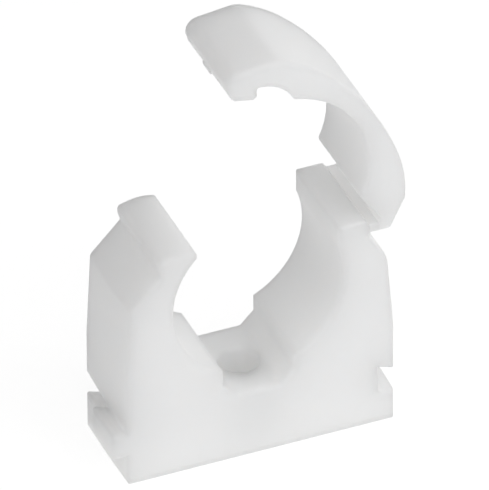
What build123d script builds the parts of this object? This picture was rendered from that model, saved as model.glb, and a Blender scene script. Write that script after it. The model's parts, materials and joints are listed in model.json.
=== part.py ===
"""Hinged pipe clip: a one-screw saddle with a strap on a living hinge, moulded open in one piece.

X runs from the latch post to the hinge post, Y along the pipe and Z up from the base's underside.
The origin is on the screw's axis, at the underside of the base. All sizes are in millimetres.
Outlines are drawn on the front face; the outer sides grow by the draft towards the mid-depth parting line.
"""
import os
from math import cos, radians, sin, sqrt, tan

from build123d import *

# Pipe and bore
pipe_diameter = 22.0
floor_below_bore = 12.0
depth = 13.2
draft_angle = 1.0
rim_radius = 0.25

# Base block
latch_wall = 5.95
hinge_wall = 6.42
lean_height = 13.8
latch_lean = 0.6
hinge_lean = 0.85
latch_shoulder_radius = 0.9
hinge_shoulder_radius = 5.0

# Tongues and slots that join clips side by side: each takes half of the depth
joint_height = 6.1
joint_flat = 1.95
joint_hook = 1.2
joint_rake = 18.0
joint_taper = 4.0
slot_depth = 2.1
joint_land = 0.4
joint_clearance = 0.12
joint_radius = 0.2

# Screw recess and hole
recess_width = 9.3
recess_chamfer = 1.75
recess_floor = 9.05
screw_hole_diameter = 5.2

# Latch post
head_overhang = 3.1
tip_thickness = 0.72
tip_low_radius = 0.25
tip_high_radius = 0.3
head_crown = 0.53
crown_reach = 1.95
crown_radius = 6.0
nose_reach = 1.8
nose_dip = 0.7
nose_height = 1.58
nose_radius = 0.6
barb = 0.32
barb_height = 1.25
barb_radius = 0.4
neck_radius = 0.25
latch_slope = 46.0

# Hinge post and web
lip_overhang = 0.75
lip_height = 3.0
post_top_width = 3.45
post_radius = 0.25
hinge_setback = 4.25
web_thickness = 1.2
web_drop = 0.65
web_before_axis = 0.32
web_after_axis = 0.9
web_root_radius = 0.4
groove_angle = 55.0
groove_root_height = 0.5
root_radius = 0.15

# Strap, drawn shut and turned open about the hinge
close_angle = 56.2
strap_clearance = 0.7
strap_lift = 1.3
strap_shift = -0.45
strap_thickness = 2.25
crown_span = 8.8
crown_heel_fall = 1.12
crown_tip_fall = 1.3
seat_gap = 0.38
seat_setback = 0.2
lip_radius = 0.6
heel_width = 4.6
heel_height = 3.9
heel_foot = 1.55
foot_radius = 0.4
heel_radius = 1.4
tip_wall = 2.25
tip_height = 2.15
tip_radius = 3.4
thumb_reach = 5.45
thumb_drop = 1.2
thumb_bevel = 3.05
thumb_height = 0.87
thumb_radius = 1.7
thumb_low_radius = 0.6
thumb_hook = 0.15
gate_width = 2.0
gate_thickness = 0.7
gate_stub = 0.25
gate_setback = 0.55
slope_gap = 0.18
tooth_clearance = 0.1
tooth_thickness = 0.6
tooth_radius = 0.2
pocket_depth = 1.1
pocket_drop = 0.2
pocket_clearance = 0.6
pocket_setback = 0.95
pocket_radius = 0.35
mouth_radius = 0.5

# Places worked out from those sizes
bore_radius = pipe_diameter / 2
bore_height = floor_below_bore + bore_radius
latch_face = -(bore_radius + latch_wall)
hinge_face = bore_radius + hinge_wall

tip_x = -(bore_radius - head_overhang)
tip_z = bore_height + sqrt(bore_radius**2 - tip_x**2)
tip_top_z = tip_z + tip_thickness
crown_x = tip_x - crown_reach
head_top = tip_top_z + head_crown
nose_x = -(bore_radius + nose_reach)
nose_top = head_top - nose_dip
nose_z = head_top - nose_height
neck_x = nose_x + barb
neck_z = nose_z - barb_height
slope = tan(radians(latch_slope))
latch_shoulder_x = latch_face + latch_lean
latch_shoulder_z = neck_z - (neck_x - latch_shoulder_x) * slope

post_x = bore_radius - lip_overhang
post_top = bore_height + sqrt(bore_radius**2 - post_x**2) + lip_height
web_top = post_top - web_drop
web_bottom = web_top - web_thickness
hinge_x = post_x + hinge_setback
hinge_z = (web_top + web_bottom) / 2
web_start = hinge_x - web_before_axis
web_end = hinge_x + web_after_axis
groove_root_low = web_bottom - groove_root_height
hinge_shoulder_x = hinge_face - hinge_lean
hinge_shoulder_z = groove_root_low - (hinge_shoulder_x - web_start) * tan(radians(groove_angle))

strap_radius = bore_radius + strap_clearance
arc_z = bore_height + strap_lift
crown_top = arc_z + strap_radius + strap_thickness
end_face = post_top + seat_gap
lip_x = strap_shift + sqrt(strap_radius**2 - (end_face - arc_z) ** 2)
pocket_mouth_x = tip_x - pocket_setback
pocket_mouth_z = arc_z + sqrt(strap_radius**2 - (pocket_mouth_x - strap_shift) ** 2)
tooth_x = nose_x - tooth_clearance

rake = tan(radians(joint_rake))
taper = tan(radians(joint_taper))
slot_length = (depth - joint_land) / 2
tongue_reach = slot_depth - joint_clearance
tongue_length = slot_length - joint_clearance
tongue_hook = joint_hook - joint_clearance

front = Plane.XZ.offset(depth / 2)
hinge_axis = Axis((hinge_x, 0, hinge_z), (0, 1, 0))


def turned_shut(x, z):
    """A point of the strap as moulded, turned about the hinge to where it lies when shut."""
    turn = radians(close_angle)
    out = x - hinge_x
    up = z - hinge_z
    return hinge_x + out * cos(turn) - up * sin(turn), hinge_z + out * sin(turn) + up * cos(turn)


def above_slope(x):
    """Height of the strap's seat over the latch post's slope, at x."""
    return neck_z + (x - neck_x) * slope + slope_gap / cos(radians(latch_slope))


def between(start, end):
    """The point half way between two points of an outline."""
    return (start[0] + end[0]) / 2, (start[1] + end[1]) / 2


def round_corners(sketch, corners):
    """Rounds the sketch's corner nearest to each point by the radius given with it."""
    for corner, radius in corners:
        fillet(sketch.vertices().sort_by_distance(corner)[0], radius)


def round_long_edges(part, corners):
    """Rounds the edge that runs from the front to mid-depth nearest to each point of the outline."""
    for (x, z), radius in corners:
        fillet(part.edges().sort_by_distance((x, -depth / 4, z))[0], radius)


def draft_sides(part, points):
    """Drafts the side of the outline nearest to each point, so that it grows towards mid-depth."""
    sides = [part.faces().sort_by_distance((x, -depth / 4, z))[0] for x, z in points]
    draft(sides, front, draft_angle)


# Saddle: base block, both posts and the web, from the front face to mid-depth
with BuildPart() as saddle_half:
    with BuildSketch(front) as saddle_profile:
        with BuildLine():
            Polyline(
                (latch_face, 0),
                (hinge_face, 0),
                (hinge_face, lean_height),
                (hinge_shoulder_x, hinge_shoulder_z),
                (web_start, groove_root_low),
                (web_start, web_bottom),
                (web_end, web_bottom),
                (web_end, web_top),
                (web_start, web_top),
                (post_x + post_top_width, post_top),
                (post_x, post_top),
                (post_x, bore_height),
                (tip_x, bore_height),
                (tip_x, tip_top_z),
                (crown_x, head_top),
                (nose_x, nose_top),
                (nose_x, nose_z),
                (neck_x, neck_z),
                (latch_shoulder_x, latch_shoulder_z),
                (latch_face, lean_height),
                close=True,
            )
        make_face()
        with Locations((0, bore_height)):
            Circle(bore_radius, mode=Mode.SUBTRACT)
        with BuildLine():
            Polyline(
                (-recess_width / 2, bore_height),
                (-recess_width / 2, recess_floor + recess_chamfer),
                (-recess_width / 2 + recess_chamfer, recess_floor),
                (recess_width / 2 - recess_chamfer, recess_floor),
                (recess_width / 2, recess_floor + recess_chamfer),
                (recess_width / 2, bore_height),
                close=True,
            )
        make_face(mode=Mode.SUBTRACT)
        round_corners(
            saddle_profile,
            [
                ((web_start, groove_root_low), root_radius),
                ((web_start, web_bottom), web_root_radius),
                ((web_start, web_top), root_radius),
                ((post_x, post_top), post_radius),
                ((post_x + post_top_width, post_top), post_radius),
                ((tip_x, tip_z), tip_low_radius),
                ((tip_x, tip_top_z), tip_high_radius),
                ((crown_x, head_top), crown_radius),
                ((nose_x, nose_top), nose_radius),
                ((nose_x, nose_z), barb_radius),
                ((neck_x, neck_z), neck_radius),
            ],
        )
    extrude(amount=-depth / 2)
    draft_sides(
        saddle_half,
        [
            (latch_face, lean_height / 2),
            between((latch_face, lean_height), (latch_shoulder_x, latch_shoulder_z)),
            (hinge_face, lean_height / 2),
            between((hinge_face, lean_height), (hinge_shoulder_x, hinge_shoulder_z)),
        ],
    )

# Strap: drawn shut over the bore, from the front face to mid-depth
with BuildPart() as strap_half:
    with BuildSketch(front) as strap_profile:
        lip = (lip_x, end_face)
        foot = turned_shut(web_end + heel_foot, web_bottom)
        heel_top = (lip_x + heel_width, end_face + heel_height)
        crown_heel = (strap_shift + crown_span, crown_top - crown_heel_fall)
        crown_tip = (strap_shift - crown_span, crown_top - crown_tip_fall)
        tip_top = (nose_x - tip_wall, head_top + tip_height)
        thumb = (nose_x - thumb_reach, neck_z - thumb_drop)
        thumb_low = (thumb[0] + thumb_bevel, thumb[1] - thumb_height)
        seat_x = neck_x + (thumb_low[1] + thumb_hook - above_slope(neck_x)) / slope
        tooth_low = (tooth_x, above_slope(tooth_x))
        tooth_high = (tooth_x, above_slope(tooth_x) + tooth_thickness)
        pocket_bottom = (nose_x - pocket_depth, nose_z - pocket_drop)
        pocket_mouth = (pocket_mouth_x, pocket_mouth_z)
        with BuildLine():
            Polyline(
                lip,
                (hinge_x - seat_setback, end_face),
                turned_shut(web_end, web_top),
                turned_shut(web_end, web_bottom),
                foot,
                heel_top,
            )
            crown = ThreePointArc(crown_heel, (strap_shift, crown_top), crown_tip)
            TangentArc(crown_tip, tip_top, tangent=crown % 1)
            TangentArc(crown_heel, heel_top, tangent=-(crown % 0))
            Polyline(
                tip_top,
                thumb,
                thumb_low,
                (seat_x, above_slope(seat_x)),
                tooth_low,
                tooth_high,
                pocket_bottom,
            )
            ThreePointArc(pocket_bottom, (crown_x, head_top + pocket_clearance), pocket_mouth)
            ThreePointArc(pocket_mouth, (strap_shift, arc_z + strap_radius), lip)
        make_face()
        round_corners(
            strap_profile,
            [
                (lip, lip_radius),
                (pocket_mouth, mouth_radius),
                (pocket_bottom, pocket_radius),
                (tooth_high, tooth_radius),
                (tooth_low, tooth_radius),
            ],
        )
    extrude(amount=-depth / 2)
    round_long_edges(
        strap_half,
        [
            (heel_top, heel_radius),
            (tip_top, tip_radius),
            (foot, foot_radius),
            (thumb, thumb_radius),
            (thumb_low, thumb_low_radius),
        ],
    )
    # Stub of the moulding gate, at mid-depth under the thumb tab
    thumb_run = Vector(thumb_low[0] - thumb[0], 0, thumb_low[1] - thumb[1]).normalized()
    gate_place = Vector(thumb_low[0], 0, thumb_low[1]) - thumb_run * gate_setback
    with Locations(Plane(gate_place, x_dir=(0, 1, 0), z_dir=thumb_run.cross(Vector(0, 1, 0)))):
        Box(gate_width, gate_thickness, 2 * gate_stub)

# Whole moulding: both halves of the depth, the screw hole and the joints at the sides
with BuildPart() as moulding:
    add(saddle_half.part)
    add(strap_half.part.rotate(hinge_axis, close_angle))
    round_long_edges(
        moulding,
        [
            ((latch_shoulder_x, latch_shoulder_z), latch_shoulder_radius),
            ((hinge_shoulder_x, hinge_shoulder_z), hinge_shoulder_radius),
        ],
    )
    front_face = moulding.faces().sort_by(Axis.Y)[0]
    fillet(front_face.edges().filter_by(lambda edge: edge.center().Z > 0), rim_radius)
    mirror(about=Plane.XZ)
    with Locations((0, 0, recess_floor / 2)):
        Cylinder(screw_hole_diameter / 2, recess_floor, mode=Mode.SUBTRACT)
    for turn, slot_side, tongue_side in ((1, hinge_face, latch_face), (-1, latch_face, hinge_face)):
        # Slot, open at one face of the clip and narrowing to its end near mid-depth
        for length in (0, slot_length):
            with BuildSketch(Plane.XZ.offset(turn * (depth / 2 - length))):
                flat = joint_flat - length * taper
                outer_x = slot_side + turn * slot_depth
                inner_x = slot_side - turn * slot_depth
                with BuildLine():
                    Polyline(
                        (outer_x, joint_height - turn * flat),
                        (outer_x, joint_height + turn * (joint_hook - rake * slot_depth)),
                        (inner_x, joint_height + turn * (joint_hook + rake * slot_depth)),
                        (inner_x, joint_height - turn * flat),
                        close=True,
                    )
                make_face()
        loft(ruled=True, mode=Mode.SUBTRACT)
        hook_edge = (slot_side, -turn * depth / 4, joint_height + turn * joint_hook)
        fillet(moulding.edges().sort_by_distance(hook_edge)[0], joint_radius)
        # Tongue that fills the slot of the next clip, less the clearance
        for length in (0, tongue_length):
            with BuildSketch(Plane.XZ.offset(turn * (depth / 2 - length))) as tongue_profile:
                flat = joint_flat - length * taper - joint_clearance
                outer_x = tongue_side - turn * tongue_reach
                inner_x = tongue_side + turn * tongue_reach
                tongue_low = (outer_x, joint_height - turn * flat)
                tongue_tip = (outer_x, joint_height + turn * (tongue_hook + rake * tongue_reach))
                with BuildLine():
                    Polyline(
                        (inner_x, joint_height - turn * flat),
                        tongue_low,
                        tongue_tip,
                        (inner_x, joint_height + turn * (tongue_hook - rake * tongue_reach)),
                        close=True,
                    )
                make_face()
                round_corners(tongue_profile, [(tongue_low, joint_radius), (tongue_tip, joint_radius)])
        loft(ruled=True)

# The bending web is the part of the moulding inside this box
with BuildPart() as web_window:
    with BuildSketch(Plane.XZ):
        with BuildLine():
            Polyline(
                (web_start, web_bottom - web_root_radius),
                (web_end, web_bottom - web_root_radius),
                (web_end, (web_top + post_top) / 2),
                (web_start, (web_top + post_top) / 2),
                close=True,
            )
        make_face()
    extrude(amount=depth, both=True)

with BuildPart() as living_hinge:
    add(moulding.part)
    add(web_window.part, mode=Mode.INTERSECT)

with BuildPart() as both_sides:
    add(moulding.part)
    add(web_window.part, mode=Mode.SUBTRACT)

with BuildPart() as saddle:
    add(both_sides.solids().sort_by(Axis.Z)[0])

with BuildPart() as strap:
    add(both_sides.solids().sort_by(Axis.Z)[-1])

os.makedirs("parts", exist_ok=True)
saddle.part.label = "saddle"
export_step(saddle.part, "parts/saddle.step")
living_hinge.part.label = "living_hinge"
export_step(living_hinge.part, "parts/living_hinge.step")
strap.part.label = "strap"
export_step(strap.part, "parts/strap.step")
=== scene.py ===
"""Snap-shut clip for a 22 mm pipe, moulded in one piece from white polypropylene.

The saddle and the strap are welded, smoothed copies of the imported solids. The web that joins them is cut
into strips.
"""

import json
import math

import bmesh
import bpy
from mathutils import Matrix, Vector


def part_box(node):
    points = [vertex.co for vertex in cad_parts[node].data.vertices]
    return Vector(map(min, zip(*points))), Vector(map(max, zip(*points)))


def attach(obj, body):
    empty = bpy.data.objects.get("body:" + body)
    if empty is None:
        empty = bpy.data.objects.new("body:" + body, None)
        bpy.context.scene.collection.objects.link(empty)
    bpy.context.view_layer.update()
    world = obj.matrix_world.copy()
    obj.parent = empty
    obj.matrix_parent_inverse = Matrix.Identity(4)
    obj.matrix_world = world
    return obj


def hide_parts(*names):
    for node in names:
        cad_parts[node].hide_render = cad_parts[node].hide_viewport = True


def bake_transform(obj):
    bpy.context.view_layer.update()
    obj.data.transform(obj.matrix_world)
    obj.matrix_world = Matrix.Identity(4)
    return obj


MM = 0.001
WHITE = "#FFFFFF"
BLACK = "#000000"

# Meshes
WELD = 0.001 * MM
FLAT_ANGLE = math.radians(0.3)
CREASE_ANGLE = math.radians(35)
WEB_STRIPS = 12
WEB_LAP = 0.02 * MM

# Camera, as the photograph was taken: from far off, with a long lens
IMAGE_WIDTH = 489
FOCAL_LENGTH_PIXELS = 13301
SENSOR_WIDTH_MM = 36
CAMERA_DISTANCE = 1582 * MM
CAMERA_AZIMUTH = math.radians(-22.61)
CAMERA_ELEVATION = math.radians(35.98)
CAMERA_ROLL = math.radians(-0.277)
CAMERA_AIM = Vector((0.878, 0, 25.81)) * MM
CAMERA_REACH = 10

# Plastic: the marks of the melt's flow, its satin skin and the tool's grain
POLYPROPYLENE_IOR = 1.49
FLOW_SIZE = 7 * MM
MILKY_WHITE = "#F8F8F7"
PALE_WHITE = "#FBFBFA"
SMOOTH_SKIN = 0.38
ROUGH_SKIN = 0.48
GRAIN_SIZE = 0.3 * MM
GRAIN_DEPTH = 0.02 * MM
GRAIN_STRENGTH = 0.08

# Plastic: how far light spreads inside it and across an edge, and the painted glow on the back of its
# faces
LIGHT_SPREAD = 14 * MM
LIGHT_SPREAD_BY_COLOUR = (1.0, 0.96, 0.93)
EDGE_SPREAD = 1.6 * MM
HINGE_EDGE_SPREAD = 0.2 * MM
HINGE_NEAR = 1.5 * MM
HINGE_FAR = 4 * MM
# Painted glow on the back of the plastic's faces, standing in for light carried through from the next
# piece
PAINTED_INSIDE_GLOW = "#CCCCCC"

# Floor: its colour and glow as they light the clip, and its shade and white as they are seen
FLOOR_SIZE = 2.0
FLOOR_GAP = 0.02 * MM
FLOOR_COLOUR = "#F2F2F2"
FLOOR_LIGHT = 0.29
FLOOR_SHADE = "#959595"
FLOOR_WHITE = 0.85

# Light: even light all round, and softboxes by azimuth, elevation and power
ROOM_LIGHT = 0.23
LAMP_DISTANCE = 400 * MM
LAMP_SIZE = 300 * MM
LAMPS = {
    "front_softbox": (0, 45, 0.45),
    "front_right_softbox": (50, 45, 0.41),
    "front_left_softbox": (-50, 12, 0.17),
    "back_right_softbox": (130, 15, 0.2),
}


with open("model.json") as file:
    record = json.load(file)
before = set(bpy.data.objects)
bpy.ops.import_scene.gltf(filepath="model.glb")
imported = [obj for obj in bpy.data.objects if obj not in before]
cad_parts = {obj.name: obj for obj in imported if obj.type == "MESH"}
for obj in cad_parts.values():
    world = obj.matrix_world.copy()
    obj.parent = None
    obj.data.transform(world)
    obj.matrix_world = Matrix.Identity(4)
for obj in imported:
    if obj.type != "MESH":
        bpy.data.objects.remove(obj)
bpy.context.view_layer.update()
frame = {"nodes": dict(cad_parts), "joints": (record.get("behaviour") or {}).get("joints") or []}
HINGE = Vector(frame["joints"][0]["pos_m"])


def linear(hex_colour):
    """An sRGB hex colour as linear RGBA."""
    channels = [int(hex_colour[i : i + 2], 16) / 255 for i in (1, 3, 5)]
    return [c / 12.92 if c <= 0.04045 else ((c + 0.055) / 1.055) ** 2.4 for c in channels] + [1.0]


def add_node(tree, kind, inputs=None, **settings):
    """Adds a node with its settings, and sets or links its inputs."""
    node = tree.nodes.new(kind)
    for name, value in settings.items():
        setattr(node, name, value)
    for socket, value in (inputs or {}).items():
        if isinstance(value, bpy.types.NodeSocket):
            tree.links.new(value, node.inputs[socket])
        else:
            node.inputs[socket].default_value = value
    return node


def new_material(name):
    """An empty node material and its tree."""
    material = bpy.data.materials.new(name)
    material.use_nodes = True
    material.node_tree.nodes.clear()
    return material, material.node_tree


def white_polypropylene():
    """Injection-moulded polypropylene: milky white, lit softly through its edges, with a satin skin."""
    material, tree = new_material("white_polypropylene")
    place = add_node(tree, "ShaderNodeTexCoord").outputs["Object"]

    # Slow flow marks of the melt
    flow = add_node(
        tree,
        "ShaderNodeTexNoise",
        {"Vector": place, "Scale": 1 / FLOW_SIZE, "Detail": 3.0},
    ).outputs["Fac"]
    colour = add_node(
        tree,
        "ShaderNodeMix",
        {"Factor": flow, "A": linear(MILKY_WHITE), "B": linear(PALE_WHITE)},
        data_type="RGBA",
    ).outputs["Result"]
    skin = add_node(
        tree,
        "ShaderNodeMapRange",
        {"Value": flow, "From Min": 0.3, "From Max": 0.7, "To Min": SMOOTH_SKIN, "To Max": ROUGH_SKIN},
    ).outputs["Result"]

    # The tool's spark-eroded grain, drawn coarser than its real 0.05 mm so that it shows
    grain = add_node(
        tree,
        "ShaderNodeTexNoise",
        {"Vector": place, "Scale": 1 / GRAIN_SIZE, "Detail": 2.0},
    ).outputs["Fac"]

    # Light crosses an edge inside the plastic, so two faces shade into each other, but less at the hinge
    from_hinge = add_node(
        tree,
        "ShaderNodeVectorMath",
        {0: place, 1: HINGE},
        operation="SUBTRACT",
    ).outputs["Vector"]
    across = add_node(
        tree,
        "ShaderNodeVectorMath",
        {0: from_hinge, 1: (1, 0, 1)},
        operation="MULTIPLY",
    ).outputs["Vector"]
    hinge_distance = add_node(
        tree,
        "ShaderNodeVectorMath",
        {0: across},
        operation="LENGTH",
    ).outputs["Value"]
    edge_spread = add_node(
        tree,
        "ShaderNodeMapRange",
        {
            "Value": hinge_distance,
            "From Min": HINGE_NEAR,
            "From Max": HINGE_FAR,
            "To Min": HINGE_EDGE_SPREAD,
            "To Max": EDGE_SPREAD,
        },
    ).outputs["Result"]
    soft_edge = add_node(tree, "ShaderNodeBevel", {"Radius": edge_spread}, samples=8).outputs["Normal"]
    relief = add_node(
        tree,
        "ShaderNodeBump",
        {"Height": grain, "Strength": GRAIN_STRENGTH, "Distance": GRAIN_DEPTH, "Normal": soft_edge},
    ).outputs["Normal"]

    # The pieces are one moulding: a ray that goes out of one into the next meets a painted glow on the
    # back of its faces, standing in for light carried through the plastic, and from the back the faces
    # show no colour of their own
    inside = add_node(tree, "ShaderNodeNewGeometry").outputs["Backfacing"]
    body = add_node(
        tree,
        "ShaderNodeMix",
        {"Factor": inside, "A": colour, "B": linear(BLACK)},
        data_type="RGBA",
    ).outputs["Result"]
    shader = add_node(
        tree,
        "ShaderNodeBsdfPrincipled",
        {
            "Base Color": body,
            "Roughness": skin,
            "IOR": POLYPROPYLENE_IOR,
            "Normal": relief,
            "Subsurface Weight": 1.0,
            "Subsurface Radius": LIGHT_SPREAD_BY_COLOUR,
            "Subsurface Scale": LIGHT_SPREAD,
            "Emission Color": linear(PAINTED_INSIDE_GLOW),
            "Emission Strength": inside,
        },
    )
    material.cycles.emission_sampling = "NONE"
    add_node(tree, "ShaderNodeOutputMaterial", {"Surface": shader.outputs["BSDF"]})
    return material


def packed_shape(node):
    """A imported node's loose triangles, welded, with its flat faces made whole."""
    packed = frame["nodes"][node].data
    shape = bmesh.new()
    points = [shape.verts.new(vertex.co) for vertex in packed.vertices]
    for triangle in packed.polygons:
        shape.faces.new([points[i] for i in triangle.vertices])
    bmesh.ops.remove_doubles(shape, verts=shape.verts, dist=WELD)
    bmesh.ops.dissolve_limit(shape, angle_limit=FLAT_ANGLE, verts=shape.verts, edges=shape.edges)
    return shape


def moulded_piece(name, shape, material):
    """An object from a shape, shaded smooth across its rounded edges."""
    mesh = bpy.data.meshes.new(name)
    shape.to_mesh(mesh)
    shape.free()
    mesh.shade_smooth()
    mesh.set_sharp_from_angle(angle=CREASE_ANGLE)
    mesh.materials.append(material)
    piece = bpy.data.objects.new(name, mesh)
    bpy.context.scene.collection.objects.link(piece)
    flats = piece.modifiers.new("flat_faces", "WEIGHTED_NORMAL")
    flats.keep_sharp = True
    return piece


def rigid_piece(name, node, body, material):
    """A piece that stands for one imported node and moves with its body."""
    piece = moulded_piece(name, packed_shape(node), material)
    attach(piece, body)
    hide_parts(node)


def bending_web(name, node, material):
    """The web between the saddle and the strap, cut into strips.

    Its ends reach a little into both, so that a ray that leaves one piece meets the painted glow inside
    the next.
    """
    low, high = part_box(node)
    shape = packed_shape(node)
    for strip in range(1, WEB_STRIPS):
        cut = low.lerp(high, strip / WEB_STRIPS)
        everything = shape.verts[:] + shape.edges[:] + shape.faces[:]
        bmesh.ops.bisect_plane(shape, geom=everything, plane_co=cut, plane_no=(1, 0, 0))
    for point in shape.verts:
        if point.co.x < low.x + WELD:
            point.co.x -= WEB_LAP
        elif point.co.x > high.x - WELD:
            point.co.x += WEB_LAP
    piece = moulded_piece(name, shape, material)
    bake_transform(piece)
    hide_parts(node)


def background_seen(tree):
    """1 for a ray that shows the background: from the camera, or by way of a shiny or clear surface."""
    path = add_node(tree, "ShaderNodeLightPath").outputs
    shiny = add_node(
        tree,
        "ShaderNodeMath",
        {0: path["Is Glossy Ray"], 1: path["Is Transmission Ray"]},
        operation="MAXIMUM",
    ).outputs["Value"]
    return add_node(
        tree,
        "ShaderNodeMath",
        {0: path["Is Camera Ray"], 1: shiny},
        operation="MAXIMUM",
    ).outputs["Value"]


def pale_floor():
    """A pale floor, seen as white apart from the clip's soft shadow, that lights the clip from below."""
    material, tree = new_material("pale_floor")
    seen = background_seen(tree)
    pale = add_node(tree, "ShaderNodeBsdfDiffuse", {"Color": linear(FLOOR_COLOUR)})
    light = add_node(tree, "ShaderNodeEmission", {"Strength": FLOOR_LIGHT})
    table = add_node(tree, "ShaderNodeAddShader", {0: pale.outputs[0], 1: light.outputs[0]})
    shade = add_node(tree, "ShaderNodeBsdfDiffuse", {"Color": linear(FLOOR_SHADE)})
    white = add_node(tree, "ShaderNodeEmission", {"Strength": FLOOR_WHITE})
    lit = add_node(tree, "ShaderNodeAddShader", {0: shade.outputs[0], 1: white.outputs[0]})
    surface = add_node(
        tree,
        "ShaderNodeMixShader",
        {0: seen, 1: table.outputs[0], 2: lit.outputs[0]},
    )
    add_node(tree, "ShaderNodeOutputMaterial", {"Surface": surface.outputs[0]})

    half = FLOOR_SIZE / 2
    corners = [(-half, -half), (half, -half), (half, half), (-half, half)]
    mesh = bpy.data.meshes.new("floor")
    mesh.from_pydata([(x, y, -FLOOR_GAP) for x, y in corners], [], [(0, 1, 2, 3)])
    mesh.materials.append(material)
    floor = bpy.data.objects.new("floor", mesh)
    bpy.context.scene.collection.objects.link(floor)


def room_light():
    """Even light from all round, and white where the background is seen past the floor."""
    world = bpy.data.worlds.new("room")
    world.use_nodes = True
    tree = world.node_tree
    tree.nodes.clear()
    strength = add_node(
        tree,
        "ShaderNodeMapRange",
        {"Value": background_seen(tree), "To Min": ROOM_LIGHT, "To Max": 1.0},
    ).outputs["Result"]
    background = add_node(
        tree,
        "ShaderNodeBackground",
        {"Color": linear(WHITE), "Strength": strength},
    )
    add_node(tree, "ShaderNodeOutputWorld", {"Surface": background.outputs[0]})
    bpy.context.scene.world = world


def outward(azimuth, elevation):
    """The direction from the clip towards an azimuth and an elevation, in radians."""
    level = math.cos(elevation)
    return Vector((math.sin(azimuth) * level, -math.cos(azimuth) * level, math.sin(elevation)))


def softbox(name, azimuth, elevation, power):
    """A square lamp that looks at the middle of the clip, placed by angles in degrees."""
    back = outward(math.radians(azimuth), math.radians(elevation))
    light = bpy.data.lights.new(name, "AREA")
    light.size = LAMP_SIZE
    light.energy = power
    holder = bpy.data.objects.new(name, light)
    holder.location = CAMERA_AIM + back * LAMP_DISTANCE
    holder.rotation_euler = back.to_track_quat("Z", "Y").to_euler()
    bpy.context.scene.collection.objects.link(holder)


def photograph_camera():
    """The camera at the photograph's viewing angle."""
    data = bpy.data.cameras.new("camera")
    data.sensor_fit = "HORIZONTAL"
    data.sensor_width = SENSOR_WIDTH_MM
    data.lens = FOCAL_LENGTH_PIXELS * SENSOR_WIDTH_MM / IMAGE_WIDTH
    data.clip_end = CAMERA_REACH
    camera = bpy.data.objects.new("camera", data)
    bpy.context.scene.collection.objects.link(camera)
    back = outward(CAMERA_AZIMUTH, CAMERA_ELEVATION)
    turn = back.to_track_quat("Z", "Y").to_matrix() @ Matrix.Rotation(CAMERA_ROLL, 3, "Z")
    camera.matrix_world = Matrix.Translation(CAMERA_AIM + back * CAMERA_DISTANCE) @ turn.to_4x4()
    bpy.context.scene.camera = camera


polypropylene = white_polypropylene()
rigid_piece("saddle_moulding", "saddle", "saddle", polypropylene)
rigid_piece("strap_moulding", "strap", "strap", polypropylene)
bending_web("hinge_web", "living_hinge", polypropylene)

pale_floor()
room_light()
for name, (azimuth, elevation, power) in LAMPS.items():
    softbox(name, azimuth, elevation, power)
photograph_camera()
bpy.context.scene.view_settings.view_transform = "Standard"
